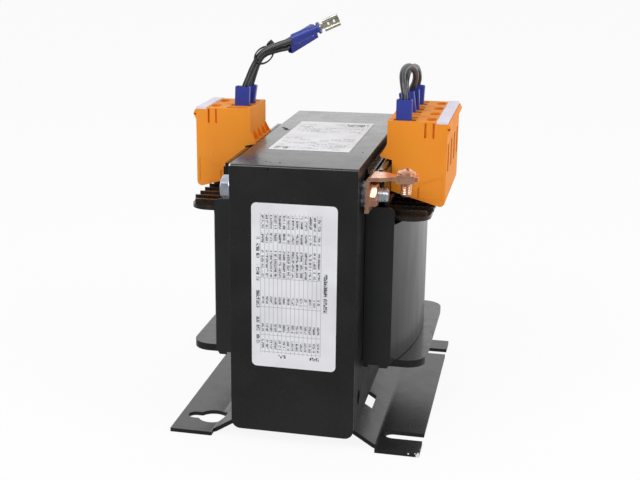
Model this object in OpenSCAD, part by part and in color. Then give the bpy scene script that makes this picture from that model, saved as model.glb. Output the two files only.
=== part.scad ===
// Mains transformer: a laminated core under a folded steel hood, on two pressed feet,
// with terminal blocks clipped to rails of the coil former on both sides.
// Millimetres. X runs through the lamination stack, Y from front to rear, Z is up.
// The origin lies on the base plane, under the centre of the core.

/* [Core] */
// Thickness of the lamination stack, along X
stack_t = 76; // [74:0.5:78]
// Width of an outer leg and of a yoke; window and centre leg follow the scrapless pattern
leg_w = 32; // [31.5:0.25:32.5]
// Height of the core's underside above the base plane
core_lift = 11.5; // [11:0.25:13]
// Diameter of the holes through the corners of the stack
core_hole_d = 9; // [8.8:0.1:10]

/* [Hood] */
// Thickness of the hood sheet
hood_t = 2; // [1.5:0.1:2.5]
// How far the hood's lower edges hang below the core
hood_drop = 4.4; // [3:0.2:5]
// Corner radius of the hood's lower edges
hood_corner_r = 5.5; // [3:0.5:8]
// Outer radius of the hood's two bends
hood_bend_r = 1.5; // [1.2:0.1:2.4]

/* [Feet] */
// Thickness of the foot sheet
foot_t = 2.5; // [2:0.1:3]
// How far each foot stands out from the core's side
foot_reach = 40; // [38:0.5:44]
// Slope of the web against the base plane, in degrees
web_angle = 32; // [30:0.5:38]
// Inner radius of the bend between the web and the sole
sole_bend_r = 4; // [2:0.5:10]
// How far the web's upper bend lies inside the core's side
web_inset = 2; // [0:0.25:4]
// How much shorter than the sole the web is at each end
web_trim = 5.5; // [3:0.25:8]
// Width of the welded flange under the core
foot_flange_w = 12; // [8:0.5:18]
// Distance between the front and rear slots of a foot
slot_pitch = 150; // [140:1:160]
// Width of the slots
slot_w = 10.5; // [9:0.5:11]
// Length of the open slots in the right foot
open_slot_l = 23.7; // [20:0.5:25]
// Diameter of the wide end of the keyholes in the left foot
keyhole_d = 18.5; // [14:0.5:19]
// Width of the narrow end of the keyholes
keyhole_slot_w = 9; // [8:0.5:10.5]
// Distance from the foot's outer edge to the closed end of a keyhole
keyhole_margin = 5.1; // [4:0.1:7]
// Distance from the foot's outer edge to the centre of the wide end
keyhole_centre = 21.3; // [19:0.1:23]
// Length of the holes beside the core's lower edges
web_hole = 20.5; // [12:0.5:22]
// Distance between the two holes of a foot
web_hole_pitch = 81; // [76:1:100]

/* [Coil former] */
// Wall of the tube around the centre leg
tube_t = 1.8; // [1.4:0.1:2.2]
// Thickness of the flanges
flange_t = 2.5; // [2:0.1:3]
// How far the flanges stand out from the core's sides
flange_reach = 37; // [35:0.5:38]
// Gap between the flange edge and the outer leg
flange_side_gap = 4; // [3:0.25:4.5]
// Depth of the rim that hangs below the bottom flange
rim_drop = 2.2; // [1:0.1:2.4]
// Height of the ribs on the top flange
rib_h = 2.7; // [2:0.1:3]
// Distance from rib to rib
rib_pitch = 10.5; // [9:0.5:12]
// Width of a terminal rail
rail_w = 10.6; // [10:0.1:11]
// Wall of a terminal rail
rail_wall = 1.8; // [1.5:0.1:2]
// How far the top of a rail lies below the top of the core
rail_below = 3.5; // [3:0.1:4]

/* [Windings] */
// Build-up of the primary winding
primary_t = 10.5; // [9:0.25:11]
// Thickness of the insulation between the windings
insulation_t = 0.8; // [0.5:0.1:1]
// Thickness of the folded coil wrap
wrap_t = 0.8; // [0.5:0.1:1]
// How far the wrap's bulge stands out from the core's sides
wrap_reach = 29.3; // [28.5:0.1:30]
// Width of the flat cheeks of the wrap
cheek_w = 17.4; // [16:0.2:18]
// How far the cheeks rise past the underside of the top flange
cheek_rise = 10; // [1.5:0.5:11]
// Diameter of the winding lead-outs
lead_d = 2.4; // [1.8:0.1:2.6]

/* [Bolts and earth bracket] */
// Diameter of the clamping bolts
bolt_d = 8; // [7.6:0.1:8.4]
// Width across the flats of the bolt heads and nuts
hex_af = 13; // [12:0.5:14]
// Thickness of a bolt head
head_t = 5.3; // [4.5:0.1:6]
// Thickness of a clamping nut
nut_t = 4.2; // [3.5:0.1:5]
// Thickness of a plain washer
washer_t = 1.8; // [1.4:0.1:2]
// Outer diameter of the washers
washer_d = 15.2; // [14:0.2:16]
// Thickness of a toothed washer
lock_t = 1.2; // [0.8:0.1:1.4]
// Length of thread that stands out of the front nut
thread_over = 6; // [4:0.5:8]
// Thickness of the earth bracket
earth_t = 2.4; // [2:0.1:2.8]
// Width of the earth bracket
earth_w = 17.6; // [16:0.2:18]
// Reach of the earth bracket beyond its upright leg
earth_reach = 29.6; // [29:0.2:32]
// Diameter of the earth screw
earth_screw_d = 6; // [5:0.2:6.4]
// Side of the square clamp washer
clamp_side = 10.8; // [10:0.1:13]
// Length of the earth screw below its head
earth_screw_l = 13; // [12:0.5:16]

/* [Terminal blocks] */
// Pitch of the poles
pole_pitch = 21; // [20.5:0.25:22]
// Number of poles of the right block
poles_right = 4; // [3:1:4]
// Number of poles of the left block
poles_left = 2; // [2:1:3]
// Height of a block's top above the core
block_rise = 20.6; // [20:0.2:22]
// Depth of a block, from the rail outwards
block_depth = 32.9; // [32.5:0.1:34]
// Width of the push-on tabs
tab_w = 6.3; // [6:0.1:6.5]
// Thickness of the push-on tabs
tab_t = 0.8; // [0.6:0.1:0.9]
// Width of the marker strips
marker_w = 6.9; // [5.5:0.1:7]
// Thickness of the marker strips
marker_t = 1.5; // [1.2:0.1:1.8]

/* [Receptacles and wires] */
// Diameter of the wires
wire_d = 3.8; // [3.2:0.1:3.8]
// Width of a blue receptacle sleeve
sleeve_w = 9.6; // [9.2:0.1:10]
// Thickness of a blue receptacle sleeve
sleeve_t = 5.2; // [5.1:0.1:5.4]
// Length of a blue receptacle sleeve
sleeve_l = 22.5; // [22:0.1:23]

/* [Labels] */
// Thickness of the labels
label_t = 0.25; // [0.1:0.05:0.4]
// Width of the front label
front_label_w = 51.2; // [40:1:60]
// Height of the front label
front_label_h = 101.5; // [80:1:120]
// Width of the top label
top_label_w = 50.3; // [40:1:60]
// Length of the top label
top_label_l = 101.5; // [80:1:140]

/* [Hidden] */
$fn = 48;
over = 1;               // how far a cutter runs past a face
gap = 0.3;              // clearance between pieces that don't bear on each other
play = 0.05;            // radial clearance of a thread or a shaft in its hole

// Core: the window is one leg wide and three legs high, the centre leg two legs wide
side_x = stack_t / 2;
core_y = 3 * leg_w;
core_top = core_lift + 5 * leg_w;
window_low = core_lift + leg_w;
window_top = core_top - leg_w;
bolt_y = core_y - leg_w / 2;
bolt_z = core_top - leg_w / 2;
spare_hole_z = core_lift + leg_w / 2;

// Hood
hood_y = core_y + hood_t;
hood_top = core_top + hood_t;
hood_low = core_lift - hood_drop;

// Feet: the flange lies under the core, and its sheet slopes down beside it to the sole
foot_under = core_lift - foot_t;
foot_out = side_x + foot_reach;
web_head = side_x - web_inset;
web_end = web_head + foot_under / tan(web_angle);
bend_shift = foot_t * tan(web_angle / 2);

// Coil former and windings
tube_x = side_x + 0.4 + tube_t;
tube_y = leg_w + 0.4 + tube_t;
former_low = window_low + gap;
former_top = window_top - gap;
flange_x = side_x + flange_reach;
flange_y = 2 * leg_w - flange_side_gap;
low_flange_top = former_low + flange_t;
high_flange_low = former_top - 1.5 - flange_t;
coil_low = low_flange_top + gap;
coil_top = high_flange_low - lead_d - 0.8;
coil_y = flange_y - 0.5;
cheek_out = side_x + cheek_w;
cheek_y = 2 * leg_w + 5;
wrap_x = side_x + wrap_reach;
wrap_sag = wrap_x - cheek_out;
wrap_r = (cheek_y * cheek_y + wrap_sag * wrap_sag) / (2 * wrap_sag);

// Rails, and the blocks that clip over them
rail_in = side_x + 0.4;
rail_out = rail_in + rail_w;
rail_top = core_top - rail_below;
rail_beam_low = rail_top - 19;
rail_half = bolt_y - earth_w / 2 - 1.2;
block_face = rail_out + 0.2;
block_in = block_face - 3.3;
block_out = block_face + block_depth;
block_top = core_top + block_rise;
block_low_in = rail_beam_low;
block_low_out = block_low_in - 9.5;
block_right_mid = 1;
block_left_mid = 4;
marker_sunk = 1;

// Contacts of a pole, measured from the block's face, its top and the pole's middle
tab_x = block_face + 5.9;
clamp_x = block_face + 22;
tab_y = [-5, 4.5];
bar_z = block_top - 19.6;
bar_t = 1.2;
tab_top = block_top - 2.1;
slot_l = 13.5;
slot_t = 5.7;
screw_head_z = block_top - 11;
tail_l = 12;
lead_z = bar_z - 10.7;
lead_x = side_x + 6;

// Receptacles: which tab of which pole carries one, and how far it leans sideways
sleeve_z = block_top - 10.1;
lean_z = sleeve_z + 4;
plugs_right = [[0, 0, 0], [1, 1, -8], [2, 0, -2], [3, 0, 2]];
plugs_left = [[0, 1, -2], [1, 0, -8]];
wire_end = 14;
crimp_in = 9.6;

// Earth bracket, outwards from the core's side
earth_x = side_x + 2 * lock_t;
earth_low = bolt_z - 9.5;
earth_high = bolt_z + 11.9;
earth_screw_x = earth_x + 22.6;
clamp_t = 1.2;
lip_drop = 3.4;
leg_half = clamp_side / 2 - 0.9;
collar_h = 1.4;
collar_wall = 1.3;
earth_head_t = 3.4;
earth_head_d = 10.6;

// Ends of the free leads: where each sleeve begins and the way it points
upper_end = [-21.8, 0, 235];
upper_way = unit([0.912, 0, 0.41]);
lower_end = [-25.6, 5, 230];
lower_way = unit([0.6, 0.7, 0.387]);

// Routes of the wires, from crimp to crimp through points chosen by hand
jumper_front_route = [
    plug_point(block_right_mid, poles_right, plugs_right[0], wire_end),
    plug_point(block_right_mid, poles_right, plugs_right[0], sleeve_l + 0.3),
    [54.5, -34.5, 209], [53.2, -31.5, 214], [52.3, -27, 218], [52.6, -21.5, 220.8],
    [53.9, -15.5, 221.8], [55.9, -9.5, 220.6], [57.3, -4, 217.2], [57.2, 0.5, 213],
    [56, 4.2, 208.8],
    plug_point(block_right_mid, poles_right, plugs_right[2], sleeve_l + 0.3),
    plug_point(block_right_mid, poles_right, plugs_right[2], wire_end)
];
jumper_rear_route = [
    plug_point(block_right_mid, poles_right, plugs_right[1], wire_end),
    plug_point(block_right_mid, poles_right, plugs_right[1], sleeve_l + 0.3),
    [51.9, -4.3, 208.5], [51.8, -2, 212.4], [52.4, 2.5, 215.8], [53.7, 8, 218],
    [54.9, 13.5, 218.2], [55.8, 19, 216.6], [56.4, 23.5, 213.2], [56.5, 26.5, 209],
    plug_point(block_right_mid, poles_right, plugs_right[3], sleeve_l + 0.3),
    plug_point(block_right_mid, poles_right, plugs_right[3], wire_end)
];
free_lead_upper_route = [
    left_of(plug_point(block_left_mid, poles_left, plugs_left[0], wire_end)),
    left_of(plug_point(block_left_mid, poles_left, plugs_left[0], wire_end + 3)),
    [-53.2, -2, 204.5], [-51.1, -1.6, 209.5], [-48.9, -1, 215], [-46.5, -0.4, 219.8],
    [-44.5, 0, 223.4], [-42.2, 0, 226.1], [-39, 0, 228.2], [-35.2, 0, 230], [-30, 0, 232],
    [-25, 0, 233.7], upper_end + upper_way, upper_end + crimp_in * upper_way
];
free_lead_lower_route = [
    left_of(plug_point(block_left_mid, poles_left, plugs_left[1], wire_end)),
    left_of(plug_point(block_left_mid, poles_left, plugs_left[1], wire_end + 3)),
    [-51.6, 9.5, 205], [-49.8, 8.3, 210], [-47.6, 6.4, 215.4], [-45.4, 5, 220],
    [-42.8, 4.2, 223.4], [-39.6, 4, 225.6], [-35.5, 4, 227], [-31.5, 3.4, 228.2],
    [-29, 3.1, 228.8], lower_end - 2 * lower_way, lower_end + lower_way,
    lower_end + (sleeve_l - wire_end) * lower_way
];

// Cable tie: an oval loop around both leads at their bend
tie_at = [-41.4, 2.3, 224.4];
tie_pitch = 45;
tie_turn = 42;

// Point on the axis of the receptacle at plug p, at a distance from its mouth
function plug_point(mid, n, p, d) = [
    tab_x + (sleeve_z + d - lean_z) * sin(p[2]),
    pole_y(mid, n, p[0]) + tab_y[p[1]],
    lean_z + (sleeve_z + d - lean_z) * cos(p[2])
];

// The same point on the other side of the core
function left_of(p) = [-p[0], p[1], p[2]];

// Direction of v
function unit(v) = v / norm(v);

// Points of the arc that rounds the corner at b between a and c
function corner(a, b, c, r, n = 6) =
    let (u = unit(a - b), v = unit(c - b), half = acos(u * v) / 2)
    let (m = b + unit(u + v) * r / sin(half))
    let (p = b + u * r / tan(half) - m, q = b + v * r / tan(half) - m)
    let (from = atan2(p[1], p[0]), to = atan2(q[1], q[0]))
    let (turn = (to - from + 540) % 360 - 180)
    [for (i = [0:n]) m + r * [cos(from + turn * i / n), sin(from + turn * i / n)]];

// Middle of pole i of a block with n poles
function pole_y(mid, n, i) = mid + (i - (n - 1) / 2) * pole_pitch;

// Ring of points around p, square to the direction t
function ring(p, t, ref, r, sides) =
    let (u = unit(cross(t, ref)), v = cross(u, t))
    [for (k = [0:sides - 1]) p + r * (cos(360 * k / sides) * u + sin(360 * k / sides) * v)];

// Round bar swept along a route; ref is a direction that the route never takes
module tube(route, r, ref, sides = 8) {
    last = len(route) - 1;
    points = [
        for (i = [0:last])
            each ring(route[i], unit(route[min(i + 1, last)] - route[max(i - 1, 0)]), ref, r, sides)
    ];
    walls = [
        for (i = [0:last - 1], k = [0:sides - 1])
            let (a = i * sides + k, b = i * sides + (k + 1) % sides)
            each [[a, b, b + sides], [a, b + sides, a + sides]]
    ];
    low_cap = [for (k = [sides - 1:-1:0]) k];
    high_cap = [for (k = [0:sides - 1]) last * sides + k];
    polyhedron(points, concat(walls, [low_cap, high_cap]));
}

// Rectangle around the origin with round corners
module round_rect(w, d, r) {
    square([w - 2 * r, d], center = true);
    square([w, d - 2 * r], center = true);
    for (x = [-1, 1], y = [-1, 1])
        translate([x * (w / 2 - r), y * (d / 2 - r)]) circle(r);
}

// Cylinder along X that starts at x
module bar_x(x, length, d, y = 0, z = 0) {
    translate([x, y, z]) rotate([0, 90, 0]) cylinder(h = length, d = d);
}

// Block between two corners
module box(a, b) {
    translate(a) cube(b - a);
}

// A profile drawn in X and Z, given length along Y from y
module along_y(y, length) {
    translate([0, y + length, 0]) rotate([90, 0, 0]) linear_extrude(length) children();
}

// The same piece on the other side of the core
module left_side() {
    mirror([1, 0, 0]) children();
}

// Children moved to p, with their Z axis turned to the direction way
module pointed(p, way) {
    translate(p) rotate([0, acos(way[2]), atan2(way[1], way[0])]) children();
}

// Hexagonal prism along Z with its outer corners broken
module hexagon(t, af) {
    intersection() {
        cylinder(h = t, d = af / cos(30), $fn = 6);
        cylinder(h = t, d1 = af + 1.2 + 2 * t, d2 = af - 0.4);
    }
}

// Through holes in the four corners of the stack
module corner_holes() {
    for (y = [-bolt_y, bolt_y], z = [spare_hole_z, bolt_z])
        bar_x(-side_x - over, stack_t + 2 * over, core_hole_d, y, z);
}

module core_e_stack() {
    color("dimgray") difference() {
        box([-side_x, -core_y, core_lift], [side_x, core_y, window_top]);
        for (s = [-1, 1])
            translate([-side_x - over, s * 1.5 * leg_w - leg_w / 2, window_low])
                cube([stack_t + 2 * over, leg_w, 3 * leg_w + over]);
        corner_holes();
    }
}

module core_i_stack() {
    color("gray") difference() {
        box([-side_x, -core_y, window_top], [side_x, core_y, core_top]);
        corner_holes();
    }
}

// Front, top and back of the hood as one folded strip, with its lower corners rounded
module hood() {
    outer = concat(
        [[-hood_y, hood_low]],
        corner([-hood_y, hood_low], [-hood_y, hood_top], [hood_y, hood_top], hood_bend_r),
        corner([-hood_y, hood_top], [hood_y, hood_top], [hood_y, hood_low], hood_bend_r),
        [[hood_y, hood_low]]
    );
    inner = [[core_y, hood_low], [core_y, core_top], [-core_y, core_top], [-core_y, hood_low]];
    color("#262626") difference() {
        translate([-side_x, 0, 0]) rotate([90, 0, 90]) linear_extrude(stack_t)
            polygon(concat(outer, inner));
        for (s = [-1, 1])
            along_y(-hood_y - over, 2 * hood_y + 2 * over) translate([s * (side_x - hood_corner_r), hood_low])
                difference() {
                    translate([s > 0 ? 0 : -hood_corner_r - over, -over])
                        square([hood_corner_r + over, hood_corner_r + over]);
                    translate([0, hood_corner_r]) circle(hood_corner_r);
                }
    }
}

// Section of a foot: flange under the core, sloping web, sole on the base plane
module foot_section() {
    flange_in = side_x - foot_flange_w;
    polygon(concat(
        [[flange_in, core_lift], [flange_in, foot_under]],
        corner([flange_in, foot_under], [web_head, foot_under], [web_end, 0], 1.2, 3),
        corner([web_head, foot_under], [web_end, 0], [foot_out, 0], sole_bend_r + foot_t, 8),
        [[foot_out, 0], [foot_out, foot_t]],
        corner(
            [foot_out, foot_t], [web_end + bend_shift, foot_t],
            [web_head + bend_shift, core_lift], sole_bend_r, 8
        ),
        corner(
            [web_end + bend_shift, foot_t], [web_head + bend_shift, core_lift],
            [flange_in, core_lift], 1.2 + foot_t, 4
        )
    ));
}

// A foot without its slots; flange and web end short of the hood's lower edges
module foot_blank() {
    difference() {
        along_y(-hood_y, 2 * hood_y) foot_section();
        for (y = [-web_hole_pitch / 2, web_hole_pitch / 2])
            translate([side_x - 5, y - web_hole / 2, 0])
                cube([9.4, web_hole, core_lift + over]);
        for (s = [-1, 1])
            translate([0, s > 0 ? hood_y - web_trim : -hood_y - over, -over])
                cube([web_end + bend_shift, web_trim + over, core_lift + 2 * over]);
    }
}

// Open slots run in from the outer edge
module foot_right() {
    inner_end = foot_out - open_slot_l + slot_w / 2;
    color("#26282a") difference() {
        foot_blank();
        for (y = [-slot_pitch / 2, slot_pitch / 2])
            translate([0, y, -over]) {
                translate([inner_end, 0, 0]) cylinder(h = foot_t + 5 * over, d = slot_w);
                translate([inner_end, -slot_w / 2, 0])
                    cube([foot_out - inner_end + over, slot_w, foot_t + 5 * over]);
            }
    }
}

// Keyholes have their wide end near the web
module foot_left() {
    narrow_x = foot_out - keyhole_margin - keyhole_slot_w / 2;
    wide_x = foot_out - keyhole_centre;
    color("#26282a") left_side() difference() {
        foot_blank();
        for (y = [-slot_pitch / 2, slot_pitch / 2])
            translate([0, y, -over]) {
                translate([wide_x, 0, 0]) cylinder(h = core_lift, d = keyhole_d);
                translate([narrow_x, 0, 0]) cylinder(h = foot_t + 2 * over, d = keyhole_slot_w);
                translate([wide_x, -keyhole_slot_w / 2, 0])
                    cube([narrow_x - wide_x, keyhole_slot_w, foot_t + 4 * over]);
            }
    }
}

// Flange outline with rounded corners
module flange_outline(inset = 0) {
    round_rect(2 * (flange_x - inset), 2 * (flange_y - inset), 12 - inset);
}

// One terminal rail: a beam over the top flange, open at the bottom, on cross webs
module rail(mid, poles) {
    deck_low = rail_top - 4.5;
    web_half = flange_y - 2;
    for (x = [rail_in, rail_out - rail_wall]) {
        box([x, -rail_half, rail_beam_low], [x + rail_wall, rail_half, deck_low]);
        box([x, -web_half, high_flange_low + flange_t], [x + rail_wall, web_half, rail_beam_low]);
    }
    box([rail_in, -rail_half, deck_low], [rail_out, rail_half, rail_top - 2.5]);
    box([rail_in, -rail_half, rail_top - 2.5], [rail_in + 0.9, rail_half, rail_top]);
    box([rail_out - 3.4, -rail_half, rail_top - 2.5], [rail_out - 1.2, rail_half, rail_top]);
    box([rail_in + 3.4, -rail_half, rail_top - 2.5], [rail_in + 4.2, rail_half, rail_top - 1]);
    for (y = [-rail_half, rail_half - rail_wall])
        box([rail_in, y, rail_beam_low], [rail_out, y + rail_wall, deck_low]);
    for (i = [0:poles])
        translate([rail_in, pole_y(mid, poles, i) - pole_pitch / 2 - 0.6, high_flange_low + flange_t])
            cube([rail_w, 1.2, deck_low - high_flange_low - flange_t]);
    box([rail_out, -rail_half + 4, block_low_in - 3.2], [rail_out + 2.6, rail_half - 4, block_low_in - 1.2]);
}

// Holes for the lead-outs, up through the flange and out through the rail
module lead_holes(mid, poles) {
    for (i = [0:poles - 1])
        translate([0, pole_y(mid, poles, i), 0]) {
            translate([lead_x, 0, high_flange_low - over])
                cylinder(h = flange_t + 2 * over, d = lead_d + 1.2);
            bar_x(rail_out - rail_wall - over, rail_wall + 2 * over, lead_d + 0.6, 0, lead_z);
        }
}

module coil_former() {
    color("#2e241e") difference() {
        union() {
            translate([0, 0, former_low]) linear_extrude(former_top - former_low)
                round_rect(2 * tube_x, 2 * tube_y, 2);
            translate([0, 0, former_low]) linear_extrude(flange_t) flange_outline();
            translate([0, 0, high_flange_low]) linear_extrude(flange_t) flange_outline();
            for (s = [0, 1]) mirror([s, 0, 0]) intersection() {
                translate([0, 0, former_low - rim_drop]) linear_extrude(rim_drop + over)
                    difference() {
                        flange_outline();
                        flange_outline(1.6);
                    }
                box([side_x + 4, -flange_y, 0], [flange_x, flange_y, window_top]);
            }
            for (s = [0, 1], k = [-5:5]) mirror([s, 0, 0])
                translate([rail_out, k * rib_pitch - 0.8, high_flange_low + flange_t]) {
                    cube([flange_x - rail_out - (abs(k) > 4 ? 3 : 0), 1.6, rib_h]);
                    translate([flange_x - rail_out - (abs(k) > 4 ? 3 : 0), 0.8, 0])
                        cylinder(h = rib_h, d = 1.6);
                }
            rail(block_right_mid, poles_right);
            left_side() rail(block_left_mid, poles_left);
        }
        translate([0, 0, former_low - over]) linear_extrude(former_top - former_low + 2 * over)
            square([2 * (tube_x - tube_t), 2 * (tube_y - tube_t)], center = true);
        lead_holes(block_right_mid, poles_right);
        left_side() lead_holes(block_left_mid, poles_left);
    }
}

// Section of a winding around the tube, from one build-up to another
module coil_band(from, to) {
    difference() {
        round_rect(2 * (tube_x + to), 2 * (tube_y + to), 2 + to);
        round_rect(2 * (tube_x + from), 2 * (tube_y + from), 2 + from);
    }
}

// Space inside both halves of the wrap, less a clearance
module wrap_space(inset) {
    intersection() {
        translate([wrap_x - wrap_r, 0]) circle(wrap_r - inset, $fn = 96);
        translate([wrap_r - wrap_x, 0]) circle(wrap_r - inset, $fn = 96);
    }
}

module primary_winding() {
    color("#b5651d") translate([0, 0, coil_low]) linear_extrude(coil_top - coil_low)
        coil_band(0.2, 0.2 + primary_t);
}

module winding_insulation() {
    from = 0.2 + primary_t + 0.1;
    color("#d9c98a") translate([0, 0, coil_low]) linear_extrude(coil_top - coil_low)
        coil_band(from, from + insulation_t);
}

// The outer winding swells towards the wrap on both sides of the core
module secondary_winding() {
    from = 0.2 + primary_t + insulation_t + 0.2;
    color("#a5541a") translate([0, 0, coil_low]) linear_extrude(coil_top - coil_low)
        difference() {
            intersection() {
                round_rect(2 * wrap_x, 2 * coil_y, 18);
                wrap_space(wrap_t + gap);
            }
            round_rect(2 * (tube_x + from), 2 * (tube_y + from), 2 + from);
        }
}

// Folded insulation sheet: flat cheeks beside the outer legs and an arc around the coil
module coil_wrap_right() {
    cheek_low = window_low + 1.5;
    cheek_top = high_flange_low + cheek_rise;
    color("#1d1d1e") {
        translate([0, 0, coil_low]) linear_extrude(high_flange_low - gap - coil_low)
            intersection() {
                difference() {
                    translate([wrap_x - wrap_r, 0]) circle(wrap_r, $fn = 96);
                    translate([wrap_x - wrap_r, 0]) circle(wrap_r - wrap_t, $fn = 96);
                }
                translate([cheek_out - wrap_t, -cheek_y])
                    square([wrap_sag + wrap_t, 2 * cheek_y]);
            }
        for (s = [-1, 1])
            along_y(s > 0 ? cheek_y - wrap_t : -cheek_y, wrap_t)
                polygon([
                    [side_x + gap, cheek_low - 1.6], [side_x + 3.8, cheek_low - 1.6],
                    [side_x + 3.8, cheek_low], [side_x + 10.6, cheek_low],
                    [side_x + 10.6, cheek_low - 1.6], [cheek_out - 2, cheek_low - 1.6],
                    [cheek_out, cheek_low + 1.6], [cheek_out, cheek_top - 3],
                    [cheek_out - 0.9, cheek_top - 0.9], [cheek_out - 3, cheek_top],
                    [side_x + gap, cheek_top]
                ]);
    }
}

module coil_wrap_left() {
    left_side() coil_wrap_right();
}

// Lead-outs rise from the primary winding through the rail to the contact tails
module lead_outs_right() {
    end_x = block_face + 1.6;
    color("#b5651d") for (i = [0:poles_right - 1])
        translate([0, pole_y(block_right_mid, poles_right, i), 0])
            tube([
                [lead_x, 0, coil_top], [lead_x, 0, coil_top + 12], [lead_x, 0, lead_z - 3],
                [lead_x + 0.9, 0, lead_z - 0.9], [lead_x + 3, 0, lead_z], [end_x, 0, lead_z]
            ], lead_d / 2, [0, 1, 0]);
}

// On the left they first cross over the top of the coil from the outer winding
module lead_outs_left() {
    end_x = block_face + 1.6;
    run_z = coil_top + lead_d / 2 + 0.1;
    color("#a5541a") left_side() for (i = [0:poles_left - 1])
        translate([0, pole_y(block_left_mid, poles_left, i), 0])
            tube([
                [wrap_x - 11, 0, run_z], [lead_x + 2.4, 0, run_z], [lead_x + 0.7, 0, run_z + 0.7],
                [lead_x, 0, run_z + 2.4], [lead_x, 0, lead_z - 3],
                [lead_x + 0.9, 0, lead_z - 0.9], [lead_x + 3, 0, lead_z], [end_x, 0, lead_z]
            ], lead_d / 2, [0, 1, 0]);
}

// Bolt with its head on the left; x_tip is the end of its thread
module clamp_bolt(y, x_tip) {
    head_x = side_x + 2 * washer_t;
    translate([-head_x, y, bolt_z]) rotate([0, -90, 0]) hexagon(head_t, hex_af);
    bar_x(-head_x, head_x + x_tip - 1, bolt_d, y, bolt_z);
    translate([x_tip - 1, y, bolt_z]) rotate([0, 90, 0])
        cylinder(h = 1, d1 = bolt_d, d2 = bolt_d - 1.8);
}

module clamp_bolts() {
    color("#b9c0cc") {
        clamp_bolt(-bolt_y, earth_x + earth_t + nut_t + thread_over);
        clamp_bolt(bolt_y, side_x + lock_t + nut_t + thread_over);
    }
}

module head_washers() {
    color("#aab0ba") for (y = [-bolt_y, bolt_y], k = [0, 1])
        difference() {
            bar_x(-side_x - (k + 1) * washer_t, washer_t, washer_d, y, bolt_z);
            bar_x(-side_x - (k + 1) * washer_t - over, washer_t + 2 * over, bolt_d + 0.4, y, bolt_z);
        }
}

// A ring with teeth around its rim
module lock_washer(x, y) {
    teeth = 10;
    difference() {
        union() {
            bar_x(x, lock_t, washer_d - 3.4, y, bolt_z);
            translate([x, y, bolt_z]) rotate([0, 90, 0]) for (k = [0:teeth - 1])
                rotate([0, 0, 360 * k / teeth]) translate([washer_d / 2 - 2.6, -1.1, 0])
                    cube([2.6, 2.2, lock_t]);
        }
        bar_x(x - over, lock_t + 2 * over, bolt_d + 0.4, y, bolt_z);
    }
}

module lock_washers() {
    color("#8e949c") {
        lock_washer(side_x, -bolt_y);
        lock_washer(side_x + lock_t, -bolt_y);
        lock_washer(side_x, bolt_y);
    }
}

// Nut along X with its flats above and below
module clamp_nut(x, y) {
    difference() {
        translate([x, y, bolt_z]) rotate([0, 90, 0]) rotate([0, 0, 30]) hexagon(nut_t, hex_af);
        bar_x(x - over, nut_t + 2 * over, bolt_d + 2 * play, y, bolt_z);
    }
}

module earth_nut() {
    color("#c98a68") clamp_nut(earth_x + earth_t, -bolt_y);
}

module rear_nut() {
    color("#b9c0cc") clamp_nut(side_x + lock_t, bolt_y);
}

// Bent strip: upright leg on the bolt, level leg with a drawn collar for the earth screw
module earth_bracket() {
    tip = earth_x + earth_reach;
    color("#c98a68") difference() {
        union() {
            translate([earth_screw_x, -bolt_y, earth_high - earth_t - collar_h])
                cylinder(h = collar_h + over, d = earth_screw_d + 2 * collar_wall);
            intersection() {
                along_y(-bolt_y - earth_w / 2, earth_w) polygon(concat(
                    [[earth_x, earth_low]],
                    corner([earth_x, earth_low], [earth_x, earth_high], [tip, earth_high], 3.4),
                    [[tip, earth_high], [tip, earth_high - earth_t]],
                    corner(
                        [tip, earth_high - earth_t], [earth_x + earth_t, earth_high - earth_t],
                        [earth_x + earth_t, earth_low], 1
                    ),
                    [[earth_x + earth_t, earth_low]]
                ));
                translate([0, -bolt_y, earth_low - over]) linear_extrude(earth_high) polygon([
                    [0, -earth_w / 2], [earth_x + 9, -earth_w / 2], [earth_x + 15, -leg_half],
                    [tip, -leg_half], [tip, leg_half], [earth_x + 15, leg_half],
                    [earth_x + 9, earth_w / 2], [0, earth_w / 2]
                ]);
            }
        }
        bar_x(earth_x - over, earth_t + 2 * over, bolt_d + 0.4, -bolt_y, bolt_z);
        translate([earth_screw_x, -bolt_y, earth_high - earth_t - collar_h - over])
            cylinder(h = earth_t + collar_h + 2 * over, d = earth_screw_d + 2 * play);
    }
}

// Square washer with two lips turned down beside the bracket's level leg
module earth_clamp() {
    half = clamp_side / 2;
    color("#cf9272") translate([earth_screw_x, -bolt_y, earth_high]) difference() {
        union() {
            linear_extrude(clamp_t) round_rect(clamp_side, clamp_side + 1.6, 1);
            for (s = [-1, 1])
                translate([-half, s > 0 ? half - 0.4 : -half - 0.8, -lip_drop])
                    cube([clamp_side, 1.2, lip_drop + clamp_t - 0.4]);
        }
        translate([0, 0, -over]) cylinder(h = clamp_t + 2 * over, d = earth_screw_d + 0.4);
    }
}

// Pan-head screw with a cross recess and a slot
module earth_screw() {
    base = earth_high + clamp_t;
    color("#d29a7c") translate([earth_screw_x, -bolt_y, base]) difference() {
        union() {
            intersection() {
                cylinder(h = earth_head_t, d = earth_head_d);
                translate([0, 0, earth_head_t - 7]) sphere(7, $fn = 64);
            }
            translate([0, 0, -earth_screw_l + 0.8]) cylinder(h = earth_screw_l - 0.8, d = earth_screw_d);
            translate([0, 0, -earth_screw_l]) cylinder(h = 0.8, d1 = earth_screw_d - 1.4, d2 = earth_screw_d);
        }
        for (a = [0, 90]) rotate([0, 0, a + 20])
            translate([-3.6, -0.7, earth_head_t - 1.9]) cube([7.2, 1.4, 3]);
    }
}

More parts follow.
